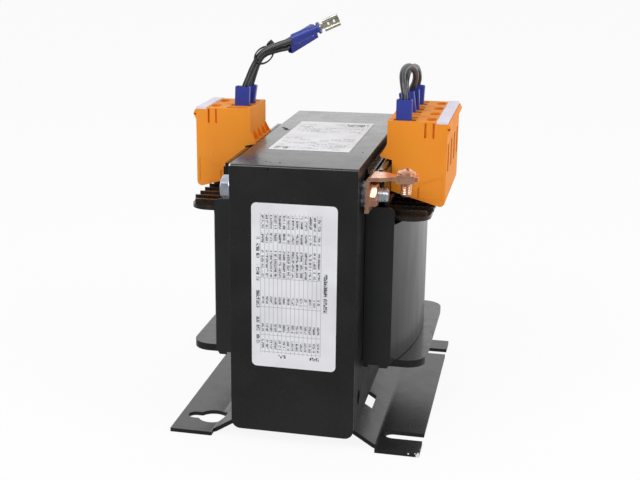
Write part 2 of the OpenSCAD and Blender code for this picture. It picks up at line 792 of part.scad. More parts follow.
// Outline of a terminal block in X and Z, with its ledge over the rail
module block_section() {
    low = [block_out, block_low_out];
    polygon(concat(
        [
            [block_in, block_top], [block_in, rail_top + 3.2], [block_face - 7.2, rail_top + 3.2],
            [block_face - 7.2, rail_top + 1.7], [block_face, rail_top + 0.2], [block_face, block_low_in]
        ],
        corner([block_face, block_low_in], low, [block_out, block_top], 3, 5),
        [
            [block_out, block_top - 7.6], [block_out + 1.9, block_top - 3.9],
            [block_out, block_top]
        ]
    ));
}

// Cavities of one pole, around the pole's middle
module pole_cavities() {
    clamp_low = bar_z - 13;
    for (y = tab_y)
        translate([tab_x + 0.65, y, bar_z]) linear_extrude(block_top - bar_z + over)
            round_rect(slot_l, slot_t, 0.8);
    box([block_face + 1.1, -9, bar_z - 0.4], [tab_x + 8, 9, bar_z + bar_t + gap]);
    box([tab_x + 7, -4, bar_z - 0.4], [clamp_x + 4.6, 4, bar_z + bar_t + gap]);
    box([block_face + 1.1, -3, bar_z - tail_l - 0.4], [block_face + 3.2, 3, bar_z]);
    bar_x(block_face - over, 3, lead_d + 0.6, 0, lead_z);
    box([clamp_x - 4.6, -5, clamp_low], [clamp_x + 4.6, 5, bar_z + 5.6]);
    box([clamp_x + 3, -4.5, clamp_low + 0.6], [block_out + 2 + over, 4.5, bar_z + 5]);
    translate([clamp_x, 0, bar_z + 3]) linear_extrude(block_top - bar_z) {
        square([6, 4.6], center = true);
        for (y = [-2.3, 2.3]) translate([0, y]) circle(3);
    }
}

// Relief of the end faces: a recess with two grooves, and a sunk corner panel
module end_relief() {
    x = clamp_x;
    box([x - 3.1, -over, block_top - 9.8], [x + 3.1, 0.6, block_top + over]);
    for (s = [-1, 1])
        box([x + s * 2.5 - 0.6, -over, block_top - 9.8], [x + s * 2.5 + 0.6, 2, block_top - 0.9]);
    along_y(-over, over + 0.4) polygon([
        [block_face + 16.6, block_low_in + 4.8], [block_out - 1.8, block_low_in + 10.2],
        [block_out - 1.8, block_low_out + 5], [block_face + 16.6, block_low_out + 6.5]
    ]);
    box([block_face + 16.2, -over, block_low_in - 4], [block_face + 17, 1.2, block_low_in + 2.6]);
}

// Housing of one terminal block with n poles
module terminal_housing(mid, n) {
    start = mid - n * pole_pitch / 2;
    length = n * pole_pitch;
    difference() {
        union() {
            along_y(start, length) block_section();
            for (k = [0:2 * n])
                translate([0, min(start + k * pole_pitch / 2, start + length - 1.2), 0])
                    along_y(0, 1.2) polygon([
                        [block_in, rail_top + 3.2], [block_face - 6.9, rail_top + 3.2],
                        [block_in, rail_top + 9.6]
                    ]);
        }
        for (i = [0:n - 1]) translate([0, pole_y(mid, n, i), 0]) pole_cavities();
        for (i = [1:n - 1])
            translate([block_in + 2.4, start + i * pole_pitch - 0.4, block_top - 0.6])
                cube([block_depth - 8, 0.8, 1]);
        translate([block_out - marker_w, start - over, block_top - marker_sunk])
            cube([marker_w + over, length + 2 * over, marker_sunk + over]);
        translate([0, start, 0]) end_relief();
        translate([0, start + length, 0]) mirror([0, 1, 0]) end_relief();
        translate([block_out + 0.6, start - over, block_top - 4.2]) rotate([-90, 0, 0])
            cylinder(h = 3, d = 1.4);
    }
}

module terminal_housing_right() {
    color("#e8922e") terminal_housing(block_right_mid, poles_right);
}

module terminal_housing_left() {
    color("#e8922e") left_side() terminal_housing(block_left_mid, poles_left);
}

// Current bar of a pole with its two tabs and the tail for the lead-out
module contact_bar() {
    box([block_face + 1.6, -8.6, bar_z], [tab_x + 7.4, 8.6, bar_z + bar_t]);
    box([tab_x + 7.4, -3.2, bar_z], [clamp_x + 4, 3.2, bar_z + bar_t]);
    for (y = tab_y)
        box(
            [tab_x - tab_w / 2, y - tab_t / 2, bar_z + bar_t],
            [tab_x + tab_w / 2, y + tab_t / 2, tab_top]
        );
    box([block_face + 1.6, -2.5, bar_z - tail_l], [block_face + 2.6, 2.5, bar_z]);
}

// A pole's children, once for each pole of a block
module each_pole(mid, n) {
    for (i = [0:n - 1]) translate([0, pole_y(mid, n, i), 0]) children();
}

module contact_bars_right() {
    color("#c9c4a8") each_pole(block_right_mid, poles_right) contact_bar();
}

module contact_bars_left() {
    color("#c9c4a8") left_side() each_pole(block_left_mid, poles_left) contact_bar();
}

// Screw that presses on the current bar and pulls the wire clamp up
module pole_screw() {
    translate([clamp_x, 0, bar_z + bar_t]) {
        cylinder(h = screw_head_z - bar_z - bar_t, d = 3.6);
        translate([0, 0, screw_head_z - bar_z - bar_t]) difference() {
            cylinder(h = 2.8, d = 5.6);
            translate([-4, -0.5, 1.6]) cube([8, 1, 2]);
        }
    }
}

module pole_screws_right() {
    color("#b9c0cc") each_pole(block_right_mid, poles_right) pole_screw();
}

module pole_screws_left() {
    color("#b9c0cc") left_side() each_pole(block_left_mid, poles_left) pole_screw();
}

// Box clamp around the current bar, open towards the wire entry
module wire_clamp() {
    difference() {
        box([clamp_x - 3.8, -4.6, bar_z - 12.4], [clamp_x + 3.8, 4.6, bar_z + 5]);
        box([clamp_x - 5, -3.5, bar_z - 10.6], [clamp_x + 5, 3.5, bar_z + bar_t + 1]);
        translate([clamp_x, 0, bar_z]) cylinder(h = 8, d = 3.6 + 2 * play);
    }
}

module wire_clamps_right() {
    color("#b0b6bf") each_pole(block_right_mid, poles_right) wire_clamp();
}

module wire_clamps_left() {
    color("#b0b6bf") left_side() each_pole(block_left_mid, poles_left) wire_clamp();
}

// Marker strip let into the top of a block, notched between its fields
module marker_strip(mid, n) {
    start = mid - n * pole_pitch / 2;
    difference() {
        box(
            [block_out - marker_w, start, block_top - marker_sunk],
            [block_out - 0.1, start + n * pole_pitch, block_top - marker_sunk + marker_t]
        );
        for (i = [1:2 * n - 1])
            translate([
                block_out - marker_w - over, start + i * pole_pitch / 2 - 0.15,
                block_top - marker_sunk + marker_t - 0.3
            ])
                cube([marker_w + 2 * over, 0.3, 1]);
    }
}

module marker_strip_right() {
    color("#efeaf4") marker_strip(block_right_mid, poles_right);
}

module marker_strip_left() {
    color("#efeaf4") left_side() marker_strip(block_left_mid, poles_left);
}

// Children at each plugged tab; the lean is about Y, around a point on the tab
module each_plug(mid, n, plugs) {
    for (p = plugs)
        translate([tab_x, pole_y(mid, n, p[0]) + tab_y[p[1]], lean_z]) rotate([0, p[2], 0])
            translate([0, 0, sleeve_z - lean_z]) children();
}

// Insulating sleeve with its mouth at the origin and the wire leaving at the top
module sleeve() {
    difference() {
        linear_extrude(sleeve_l) round_rect(sleeve_w, sleeve_t, 1.2);
        translate([0, 0, -over]) linear_extrude(11.4 + over)
            square([tab_w + 2.2, 3.4], center = true);
        translate([0, 0, 11.2]) linear_extrude(sleeve_l) round_rect(7.8, 4.2, 1);
    }
}

module receptacle_sleeves_right() {
    color("#30386e") each_plug(block_right_mid, poles_right, plugs_right) sleeve();
}

module receptacle_sleeves_left() {
    color("#30386e") left_side() each_plug(block_left_mid, poles_left, plugs_left) sleeve();
}

// Metal receptacle: a flat box with a slot for the tab, and a barrel for the wire
module receptacle() {
    difference() {
        translate([0, 0, 0.3]) linear_extrude(9.7) round_rect(tab_w + 2, 3, 0.6);
        translate([0, 0, -over]) linear_extrude(8.8 + over)
            square([tab_w + 1.4, tab_t + 0.3], center = true);
    }
    translate([0, 0, 10]) cylinder(h = wire_end - 10, d = 3.4);
}

module receptacles_right() {
    color("#c6c6c0") each_plug(block_right_mid, poles_right, plugs_right) receptacle();
}

module receptacles_left() {
    color("#c6c6c0") left_side() each_plug(block_left_mid, poles_left, plugs_left) receptacle();
}

module jumper_front() {
    color("#444446") tube(jumper_front_route, wire_d / 2, [1, 0, 0]);
}

module jumper_rear() {
    color("#444446") tube(jumper_rear_route, wire_d / 2, [1, 0, 0]);
}

module free_lead_upper() {
    color("#444446") tube(free_lead_upper_route, wire_d / 2, [0, 1, 0]);
}

module free_lead_lower() {
    color("#444446") tube(free_lead_lower_route, wire_d / 2, [-0.7, 0.7, 0.1]);
}

// Oval with half axes a and b
function oval(a, b, n = 28) = [for (i = [0:n - 1]) [a * cos(360 * i / n), b * sin(360 * i / n)]];

// Strap with its head at the upper end of the loop
module cable_tie() {
    color("#2c2c2e") translate(tie_at) rotate([0, tie_pitch, 0]) rotate([tie_turn, 0, 0])
        translate([0, 0, -0.9]) {
            linear_extrude(1.8) difference() {
                polygon(oval(5.2, 8.3));
                polygon(oval(4.3, 7.4));
            }
            translate([-4.4, 7.6, -0.6]) cube([4.6, 3.2, 4.2]);
        }
}

// Sleeve around the crimp of the upper lead's end, with a flared collar
module lead_end_sleeve_upper() {
    color("#30386e") pointed(upper_end, upper_way) difference() {
        union() {
            cylinder(h = 13.4, d = 7);
            translate([0, 0, 13.4]) cylinder(h = 5.9, d = 5.2);
            translate([0, 0, 17.8]) cylinder(h = 1.5, d = 7.6);
        }
        translate([0, 0, -over]) cylinder(h = 30, d = wire_d + 0.2);
    }
}

// Bare receptacle: crimp barrel, neck, and a flat body with two rolled edges
module lead_end_receptacle_upper() {
    color("#c6c6c0") pointed(upper_end, upper_way) {
        translate([0, 0, crimp_in]) cylinder(h = 20.2 - crimp_in, d = 3.6);
        translate([0, 0, 20]) linear_extrude(2.2) square([3.2, 1.4], center = true);
        difference() {
            translate([0, 0, 22]) linear_extrude(10.6) {
                square([7.4, 0.7], center = true);
                for (s = [-1, 1]) translate([s * 2.75, -0.65]) circle(1.15, $fn = 24);
            }
            for (z = [25.2, 29.2])
                translate([-0.2, 0, z]) cube([1.7, 3, 1.2], center = true);
        }
    }
}

module lead_end_sleeve_lower() {
    color("#30386e") pointed(lower_end + sleeve_l * lower_way, -lower_way) sleeve();
}

module lead_end_receptacle_lower() {
    color("#c6c6c0") pointed(lower_end + sleeve_l * lower_way, -lower_way) receptacle();
}

module front_label() {
    color("#e6e6e8") translate([1, -hood_y, 100.7]) rotate([90, 0, 0]) linear_extrude(label_t)
        round_rect(front_label_w, front_label_h, 3);
}

module top_label() {
    color("#e9e9ec") translate([-0.8, 0.2, hood_top]) linear_extrude(label_t)
        round_rect(top_label_w, top_label_l, 0.6);
}

core_e_stack();
core_i_stack();
hood();
foot_right();
foot_left();
coil_former();
primary_winding();
winding_insulation();
secondary_winding();
coil_wrap_right();
coil_wrap_left();
lead_outs_right();
lead_outs_left();
clamp_bolts();
head_washers();
lock_washers();
earth_nut();
rear_nut();
earth_bracket();
earth_clamp();
earth_screw();
terminal_housing_right();
terminal_housing_left();
contact_bars_right();
contact_bars_left();
pole_screws_right();
pole_screws_left();
wire_clamps_right();
wire_clamps_left();
marker_strip_right();
marker_strip_left();
receptacle_sleeves_right();
receptacle_sleeves_left();
receptacles_right();
receptacles_left();
jumper_front();
jumper_rear();
free_lead_upper();
free_lead_lower();
cable_tie();
lead_end_sleeve_upper();
lead_end_sleeve_lower();
lead_end_receptacle_upper();
lead_end_receptacle_lower();
front_label();
top_label();
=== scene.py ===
"""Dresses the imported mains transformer: edges, wires, threads, prints and finishes."""
import math

import bmesh
import bpy
from mathutils import Matrix, Vector


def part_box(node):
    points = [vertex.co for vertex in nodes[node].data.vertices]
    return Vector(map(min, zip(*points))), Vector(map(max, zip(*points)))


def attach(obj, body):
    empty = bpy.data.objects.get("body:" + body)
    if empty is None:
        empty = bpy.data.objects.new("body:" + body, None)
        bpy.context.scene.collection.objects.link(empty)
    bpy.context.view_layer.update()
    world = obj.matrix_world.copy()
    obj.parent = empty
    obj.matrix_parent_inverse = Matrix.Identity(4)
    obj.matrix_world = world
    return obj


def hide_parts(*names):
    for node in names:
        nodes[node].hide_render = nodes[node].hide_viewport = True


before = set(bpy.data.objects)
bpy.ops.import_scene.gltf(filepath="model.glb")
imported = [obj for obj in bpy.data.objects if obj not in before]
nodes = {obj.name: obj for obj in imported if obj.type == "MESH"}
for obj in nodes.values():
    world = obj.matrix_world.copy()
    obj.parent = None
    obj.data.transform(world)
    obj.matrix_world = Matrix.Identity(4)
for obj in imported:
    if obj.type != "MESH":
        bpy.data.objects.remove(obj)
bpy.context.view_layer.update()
scene = bpy.context.scene
scene.view_settings.view_transform = "Standard"

MM = 0.001
PER_METRE = 1000


def corners(node):
    """Lowest and highest corner of a CAD node, in millimetres."""
    return [Vector(corner) * PER_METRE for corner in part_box(node)]


def middle(node):
    """Centre of a CAD node's box, in millimetres."""
    low, high = corners(node)
    return (low + high) / 2


def linear(hex_colour):
    """Scene-linear RGBA of an sRGB colour written as #rrggbb."""
    parts = [int(hex_colour[i:i + 2], 16) / 255 for i in (1, 3, 5)]
    light = [c / 12.92 if c <= 0.04045 else ((c + 0.055) / 1.055) ** 2.4 for c in parts]
    return (*light, 1.0)


# camera
CAMERA_PLACE = (0.1386, -0.729556, 0.311272)
YAW, PITCH, ROLL = (math.radians(a) for a in (14.4306, 16.6437, -0.3211))
LENS, SENSOR_W = 64.89, 36.0
LENS_SHIFT = (0.1053, 0.0313)


def add_camera():
    """The photograph's viewpoint, from the edges of the hood and the core."""
    ahead = Vector((
        -math.sin(YAW) * math.cos(PITCH), math.cos(YAW) * math.cos(PITCH), -math.sin(PITCH),
    ))
    level = Vector((math.cos(YAW), math.sin(YAW), 0))
    above = level.cross(ahead)
    right = math.cos(ROLL) * level + math.sin(ROLL) * above
    up = math.cos(ROLL) * above - math.sin(ROLL) * level
    lens = bpy.data.cameras.new("camera")
    lens.lens, lens.sensor_width = LENS, SENSOR_W
    lens.shift_x, lens.shift_y = LENS_SHIFT
    lens.clip_start, lens.clip_end = 0.05, 60
    camera = bpy.data.objects.new("camera", lens)
    turn = Matrix((right, up, -ahead)).transposed().to_4x4()
    camera.matrix_world = Matrix.Translation(CAMERA_PLACE) @ turn
    scene.collection.objects.link(camera)
    scene.camera = camera


add_camera()

# wires, in millimetres
WIRE_D = 3.8
TAB_X, LEAN_Z, SLEEVE_Z = 55.1, 186.0, 182.0
WIRE_END, SLEEVE_L = 14.0, 22.5
SLEEVE_MOUTH = SLEEVE_L + 0.3
LEAD_BEND = WIRE_END + 3
CRIMP_IN = 9.6
UPPER_END, UPPER_WAY = Vector((-21.8, 0, 235)), Vector((0.912, 0, 0.41)).normalized()
LOWER_END, LOWER_WAY = Vector((-25.6, 5, 230)), Vector((0.6, 0.7, 0.387)).normalized()


def on_plug(side, y, lean, depth):
    """Point on a plugged receptacle's axis, at a depth from its mouth."""
    rise = SLEEVE_Z + depth - LEAN_Z
    angle = math.radians(lean)
    return Vector((side * (TAB_X + rise * math.sin(angle)), y, LEAN_Z + rise * math.cos(angle)))


WIRE_ROUTES = {
    "jumper_front": [
        on_plug(1, -35.5, 0, WIRE_END), on_plug(1, -35.5, 0, SLEEVE_MOUTH),
        (54.5, -34.5, 209), (53.2, -31.5, 214), (52.3, -27, 218), (52.6, -21.5, 220.8),
        (53.9, -15.5, 221.8), (55.9, -9.5, 220.6), (57.3, -4, 217.2), (57.2, 0.5, 213),
        (56, 4.2, 208.8), on_plug(1, 6.5, -2, SLEEVE_MOUTH), on_plug(1, 6.5, -2, WIRE_END),
    ],
    "jumper_rear": [
        on_plug(1, -5, -8, WIRE_END), on_plug(1, -5, -8, SLEEVE_MOUTH),
        (51.9, -4.3, 208.5), (51.8, -2, 212.4), (52.4, 2.5, 215.8), (53.7, 8, 218),
        (54.9, 13.5, 218.2), (55.8, 19, 216.6), (56.4, 23.5, 213.2), (56.5, 26.5, 209),
        on_plug(1, 27.5, 2, SLEEVE_MOUTH), on_plug(1, 27.5, 2, WIRE_END),
    ],
    "free_lead_upper": [
        on_plug(-1, -2, -2, WIRE_END), on_plug(-1, -2, -2, LEAD_BEND),
        (-53.2, -2, 204.5), (-51.1, -1.6, 209.5), (-48.9, -1, 215), (-46.5, -0.4, 219.8),
        (-44.5, 0, 223.4), (-42.2, 0, 226.1), (-39, 0, 228.2), (-35.2, 0, 230), (-30, 0, 232),
        (-25, 0, 233.7), UPPER_END + UPPER_WAY, UPPER_END + CRIMP_IN * UPPER_WAY,
    ],
    "free_lead_lower": [
        on_plug(-1, 9.5, -8, WIRE_END), on_plug(-1, 9.5, -8, LEAD_BEND),
        (-51.6, 9.5, 205), (-49.8, 8.3, 210), (-47.6, 6.4, 215.4), (-45.4, 5, 220),
        (-42.8, 4.2, 223.4), (-39.6, 4, 225.6), (-35.5, 4, 227), (-31.5, 3.4, 228.2),
        (-29, 3.1, 228.8), LOWER_END - 2 * LOWER_WAY, LOWER_END + LOWER_WAY,
        LOWER_END + (SLEEVE_L - WIRE_END) * LOWER_WAY,
    ],
}


def smooth_route(points, steps=7):
    """Points of a Catmull-Rom curve through a route given in millimetres, in metres."""
    pts = [Vector(p) for p in points]
    ends = [2 * pts[0] - pts[1]] + pts + [2 * pts[-1] - pts[-2]]
    out = []
    for a, b, c, d in zip(ends, ends[1:], ends[2:], ends[3:]):
        for i in range(steps):
            t = i / steps
            out.append(0.5 * (2 * b + t * (c - a) + t * t * (2 * a - 5 * b + 4 * c - d)
                              + t ** 3 * (3 * b - a - 3 * c + d)))
    out.append(pts[-1])
    return [p * MM for p in out]


def add_wire(node, route):
    """A round wire along a route, in place of its CAD tube."""
    points = smooth_route(route)
    curve = bpy.data.curves.new(node + "_wire", "CURVE")
    curve.dimensions = "3D"
    # with a depth of 1, the radius of each point is the wire's own radius
    curve.bevel_depth = 1
    curve.bevel_resolution = 7
    curve.use_fill_caps = True
    spline = curve.splines.new("POLY")
    spline.points.add(len(points) - 1)
    for place, point in zip(spline.points, points):
        place.co = (*point, 1)
        place.radius = WIRE_D / 2 * MM
    wire = bpy.data.objects.new(node + "_wire", curve)
    scene.collection.objects.link(wire)
    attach(wire, "root")
    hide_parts(node)
    length = sum((b - a).length for a, b in zip(points, points[1:]))
    return wire, points[0], length


wires = {name: add_wire(name, route) for name, route in WIRE_ROUTES.items()}


# shader building
class Signal:
    """A shader socket that takes part in arithmetic."""

    def __init__(self, shading, socket):
        self.shading, self.socket = shading, socket

    def _join(self, operation, *values):
        return self.shading.node(
            "ShaderNodeMath", {"operation": operation}, dict(enumerate(values))
        )

    def __add__(self, other):
        return self._join("ADD", self, other)

    def __sub__(self, other):
        return self._join("SUBTRACT", self, other)

    def __rsub__(self, other):
        return self._join("SUBTRACT", other, self)

    def __mul__(self, other):
        return self._join("MULTIPLY", self, other)

    def __truediv__(self, other):
        return self._join("DIVIDE", self, other)

    def __abs__(self):
        return self._join("ABSOLUTE", self)

    def __gt__(self, other):
        return self._join("GREATER_THAN", self, other)

    __radd__ = __add__
    __rmul__ = __mul__

    def mod(self, other):
        return self._join("FLOORED_MODULO", self, other)

    def floor(self):
        return self._join("FLOOR", self)

    def sin(self):
        return self._join("SINE", self)

    def least(self, other):
        return self._join("MINIMUM", self, other)

    def fade(self, low, high, start=0.0, end=1.0):
        """start at low and end at high, with soft ends."""
        return self.shading.node(
            "ShaderNodeMapRange", {"interpolation_type": "SMOOTHSTEP"},
            {"Value": self, "From Min": low, "From Max": high, "To Min": start, "To Max": end},
        )

    def band(self, low, high, soft=0.05):
        """1 between low and high, with edges of the given softness."""
        return self.fade(low - soft, low + soft) * self.fade(high + soft, high - soft)

    def bands(self, spans, soft=0.05):
        """1 inside any of the spans."""
        return sum((self.band(low, high, soft) for low, high in spans), 0)

    def from_middle(self):
        """Distance from the middle of each whole step, from 0 to 0.5."""
        return abs(self.mod(1.0) - 0.5)


class Shading:
    """A tree of shader nodes, of a material or of the world."""

    def __init__(self, tree):
        self.tree = tree

    def node(self, kind, settings=None, inputs=None, output=0):
        """Adds a node, with its settings first and then the values or links of its sockets."""
        made = self.tree.nodes.new(kind)
        for key, value in (settings or {}).items():
            setattr(made, key, value)
        for key, value in (inputs or {}).items():
            self.feed(made.inputs[key], value)
        return Signal(self, made.outputs[output])

    def feed(self, socket, value):
        """Gives a socket a plain value, or a link from a signal."""
        if isinstance(value, Signal):
            self.tree.links.new(value.socket, socket)
        else:
            socket.default_value = value

    def rays(self, kind):
        """1 for the rays of one kind, such as Is Camera Ray."""
        return self.node("ShaderNodeLightPath", output=kind)


class Finish(Shading):
    """One procedural material."""

    def __init__(self, name):
        self.material = bpy.data.materials.new(name)
        self.material.use_nodes = True
        super().__init__(self.material.node_tree)
        self.shader = self.tree.nodes["Principled BSDF"]

    def set(self, **values):
        """Feeds the shader's sockets; an underscore stands for a space."""
        for key, value in values.items():
            self.feed(self.shader.inputs[key.replace("_", " ")], value)

    def surface(self, shader):
        """Shows a shader in place of the plain one."""
        self.feed(self.tree.nodes["Material Output"].inputs["Surface"], shader)

    def plain(self):
        return Signal(self, self.shader.outputs[0])

    def place(self):
        return self.node("ShaderNodeTexCoord", output="Object")

    def axis(self, name):
        """Object coordinate X, Y or Z, in millimetres."""
        return self.node("ShaderNodeSeparateXYZ", None, {0: self.place()}, name) * PER_METRE

    def distance(self, x, y, z):
        """Distance from a point, in millimetres."""
        apart = self.node(
            "ShaderNodeVectorMath", {"operation": "DISTANCE"},
            {0: self.place(), 1: (x * MM, y * MM, z * MM)}, "Value",
        )
        return apart * PER_METRE

    def noise(self, scale, detail=2.0, rough=0.5, stretch=(1, 1, 1)):
        """Noise with scale features to the metre; stretch multiplies each axis."""
        where = self.place()
        if stretch != (1, 1, 1):
            where = self.node("ShaderNodeMapping", None, {"Vector": where, "Scale": stretch})
        return self.node(
            "ShaderNodeTexNoise", None,
            {"Vector": where, "Scale": scale, "Detail": detail, "Roughness": rough},
        )

    def specks(self, scale, size):
        """Round specks, 1 inside; scale cells to the metre, size from 0 to 1."""
        cells = self.node(
            "ShaderNodeTexVoronoi", None, {"Vector": self.place(), "Scale": scale}
        )
        return cells.fade(size, size * 0.6)

    def chance(self, column, row):
        """A random number from 0 to 1 for each whole column and row."""
        cell = self.node("ShaderNodeCombineXYZ", None, {0: column.floor(), 1: row.floor()})
        return self.node(
            "ShaderNodeTexWhiteNoise", {"noise_dimensions": "2D"}, {"Vector": cell}
        )

    def mix(self, factor, first, second):
        """Mix of two colours."""
        return self.node(
            "ShaderNodeMix", {"data_type": "RGBA"}, {0: factor, 6: first, 7: second}, 2
        )

    def blend(self, factor, first, second):
        """Mix of two shaders."""
        return self.node("ShaderNodeMixShader", None, {0: factor, 1: first, 2: second})

    def glow(self, strength):
        """Plain white light."""
        return self.node("ShaderNodeEmission", None, {"Color": (1, 1, 1, 1), "Strength": strength})

    def bump(self, height, distance):
        """Normal from a height signal, distance in millimetres for a height of 1."""
        return self.node("ShaderNodeBump", None, {"Height": height, "Distance": distance * MM})


def black_lacquer(name, colour, rough, coat, chips_and_glints, marks=()):
    """Satin black paint: orange peel, faint waviness, dust, dull dark marks, and near-white spots for
    bare chips and for painted highlights.
    """
    paint = Finish(name)
    cloud = paint.noise(38, 3)
    tone = paint.mix(cloud.fade(0.3, 0.75), linear(colour), linear("#202021"))
    dust = paint.specks(170, 0.045) * paint.noise(30).fade(0.5, 0.62)
    tone = paint.mix(dust * 0.3, tone, linear("#8d8d90"))
    roughness = rough + paint.noise(90, 3).fade(0.35, 0.8) * 0.08 + dust * 0.2
    height = paint.noise(950, 1) * 0.14 + paint.noise(21, 2) * 1.2
    # near-white spots: bare chips where paint is worn off, and painted highlights where a corner
    # catches the light
    for x, y, z, size in chips_and_glints:
        edge = paint.distance(x, y, z) + paint.noise(900, 3, 0.7) * size * 0.9
        bare_and_glint = edge.fade(size * 1.5, size * 1.25)
        tone = paint.mix(bare_and_glint, tone, linear("#e4e4e2"))
        roughness = roughness + bare_and_glint * 0.15
        height = height - bare_and_glint * 2
    paint.set(Base_Color=tone, Roughness=roughness, Normal=paint.bump(height, 0.03))
    paint.set(IOR=1.52, Coat_Weight=coat, Coat_Roughness=0.16, Coat_IOR=1.6)
    if marks:
        dull = paint.node("ShaderNodeBsdfDiffuse", None, {"Color": linear("#0a0a0b")})
        spots = sum((
            (paint.distance(x, y, z) + paint.noise(700, 2) * size * 0.8).fade(size * 1.4, size * 1.1)
            for x, y, z, size in marks
        ), 0)
        paint.surface(paint.blend(spots.least(1.0), paint.plain(), dull))
    return paint.material


def moulded_plastic(name, colour, deep, rough, grain=0.02, scatter=0.0):
    """Moulded plastic: faint flow shading, a fine sparked grain and handling marks."""
    plastic = Finish(name)
    flow = plastic.noise(46, 2, 0.4, (1, 1, 0.4))
    tone = plastic.mix(flow.fade(0.25, 0.85), linear(colour), linear(deep))
    scuffs = plastic.noise(320, 4, 0.6, (1, 1, 0.25)).fade(0.66, 0.8)
    tone = plastic.mix(scuffs * 0.12, tone, linear("#ffffff"))
    roughness = rough + plastic.noise(140, 3).fade(0.3, 0.8) * 0.12 + scuffs * 0.1
    plastic.set(
        Base_Color=tone, Roughness=roughness, Normal=plastic.bump(plastic.noise(2600, 1), grain)
    )
    if scatter:
        plastic.set(Subsurface_Weight=scatter, Subsurface_Radius=(0.0016, 0.0006, 0.0002))
    return plastic.material


def plated_metal(name, colour, shade, rough, metallic=0.8):
    """Plated metal: tumbling marks, cloudy tarnish and slight colour drift."""
    metal = Finish(name)
    cloud = metal.noise(210, 4, 0.55)
    tone = metal.mix(cloud.fade(0.35, 0.75), linear(colour), linear(shade))
    nicks = metal.specks(520, 0.16) * metal.noise(160).fade(0.45, 0.6)
    roughness = rough + metal.noise(420, 3, 0.6).fade(0.3, 0.8) * 0.16
    height = metal.noise(700, 3, 0.6) * 0.6 - nicks * 0.6
    metal.set(
        Base_Color=tone, Metallic=metallic, Roughness=roughness, Normal=metal.bump(height, 0.02)
    )
    return metal.material


def winding_wire(name, colour):
    """Enamelled copper wire in layers, one turn above the other."""
    turn_pitch = 1.6
    copper = Finish(name)
    across_turn = (copper.axis("Z") / turn_pitch).from_middle() * 2
    tone = copper.mix(copper.noise(90, 3).fade(0.3, 0.8), linear(colour), linear("#6d3315"))
    copper.set(
        Base_Color=tone, Metallic=0.6, Roughness=0.3 + copper.noise(300).fade(0.3, 0.8) * 0.12,
        Normal=copper.bump(1 - across_turn * across_turn, 0.35),
    )
    return copper.material


def wrap_sheet():
    """Black insulation sheet: long vertical ripples and a soft sheen."""
    sheet = Finish("coil_wrap_sheet")
    ripple = sheet.noise(55, 2, 0.5, (1, 1, 0.08))
    tone = sheet.mix(sheet.noise(25, 3).fade(0.3, 0.8), linear("#1d1e20"), linear("#252628"))
    roughness = 0.3 + sheet.noise(160, 4, 0.6, (1, 1, 0.15)).fade(0.35, 0.8) * 0.12
    height = ripple * 2 + sheet.noise(1500, 1) * 0.12
    sheet.set(Base_Color=tone, Roughness=roughness, Normal=sheet.bump(height, 0.05))
    sheet.set(IOR=1.55, Coat_Weight=0.45, Coat_Roughness=0.24, Coat_IOR=1.6)
    return sheet.material


def lamination():
    """Lacquered core: punched sheets half a millimetre thick, seen edge on in X."""
    sheets_per_mm = 2
    core = Finish("core_lamination")
    seam = (core.axis("X") * sheets_per_mm).from_middle().fade(0.5, 0.34)
    tone = core.mix(core.noise(60, 4).fade(0.35, 0.75), linear("#151517"), linear("#202022"))
    rust = core.noise(240, 4, 0.7).fade(0.72, 0.8)
    tone = core.mix(rust * 0.35, tone, linear("#4a3226"))
    height = seam * 1.2 + core.noise(500, 3) * 0.5
    core.set(
        Base_Color=tone, Roughness=0.4 + core.noise(120, 3).fade(0.3, 0.8) * 0.15,
        Normal=core.bump(height, 0.05),
    )
    return core.material


def former_plastic():
    """Black moulded resin with a hard gloss; patchy brown lies on the top flange."""
    # heights in millimetres between which patchy brown lies on the top flange
    brown_low, brown_full = 132, 136
    brown_high, brown_thin = 141.5, 139.5
    resin = Finish("former_resin")
    z = resin.axis("Z")
    tone = resin.mix(resin.noise(70, 3).fade(0.3, 0.75), linear("#18181a"), linear("#222123"))
    in_brown_band = z.fade(brown_low, brown_full) * z.fade(brown_high, brown_thin)
    brown_patches = in_brown_band * resin.noise(60, 4, 0.6).fade(0.38, 0.6)
    tone = resin.mix(brown_patches * 0.7, tone, linear("#43301f"))
    roughness = 0.2 + resin.noise(130, 3).fade(0.35, 0.8) * 0.16
    height = resin.noise(60, 2) * 1.6 + resin.noise(1400, 1) * 0.2
    resin.set(Base_Color=tone, Roughness=roughness, Normal=resin.bump(height, 0.04))
    resin.set(IOR=1.5, Coat_Weight=0.25, Coat_Roughness=0.12)
    return resin.material


def wire_sheath():
    """Dark grey cable sheath with five extrusion lines along its length, painted light grey as
    highlight streaks.
    """
    lines = 5
    sheath = Finish("wire_sheath")
    own_map = sheath.node("ShaderNodeTexCoord", output="UV")
    around = sheath.node("ShaderNodeSeparateXYZ", None, {0: own_map}, "Y")
    ridge = (around * (2 * math.pi * lines)).sin()
    fine = sheath.noise(260, 3, 0.6)
    tone = sheath.mix(fine.fade(0.3, 0.8), linear("#2b2b2d"), linear("#3a3a3c"))
    # painted highlight: the extrusion lines are lightened to stand for streaks of reflected light;
    # the bump below is their real relief
    tone = sheath.mix(ridge.fade(0.3, 1.0) * 0.5, tone, linear("#7d7d80"))
    sheath.set(
        Base_Color=tone, Roughness=0.3 + fine.fade(0.3, 0.8) * 0.1,
        Normal=sheath.bump(ridge * 0.5 + fine * 0.6, 0.1),
    )
    sheath.set(Coat_Weight=0.3, Coat_Roughness=0.2)
    return sheath.material


def strokes(paper, along, across, height, seed):
    """Small random strokes that stand for a line of print, height millimetres tall."""
    letter = height * 0.55
    cell = height * 0.24
    dots = paper.chance(along / cell + seed, across / cell)
    filled = paper.chance(along / letter + seed * 3, across / (2 * height))
    space = (along / letter).from_middle().fade(0.48, 0.36)
    return (dots > 0.36) * space * (filled > 0.16)


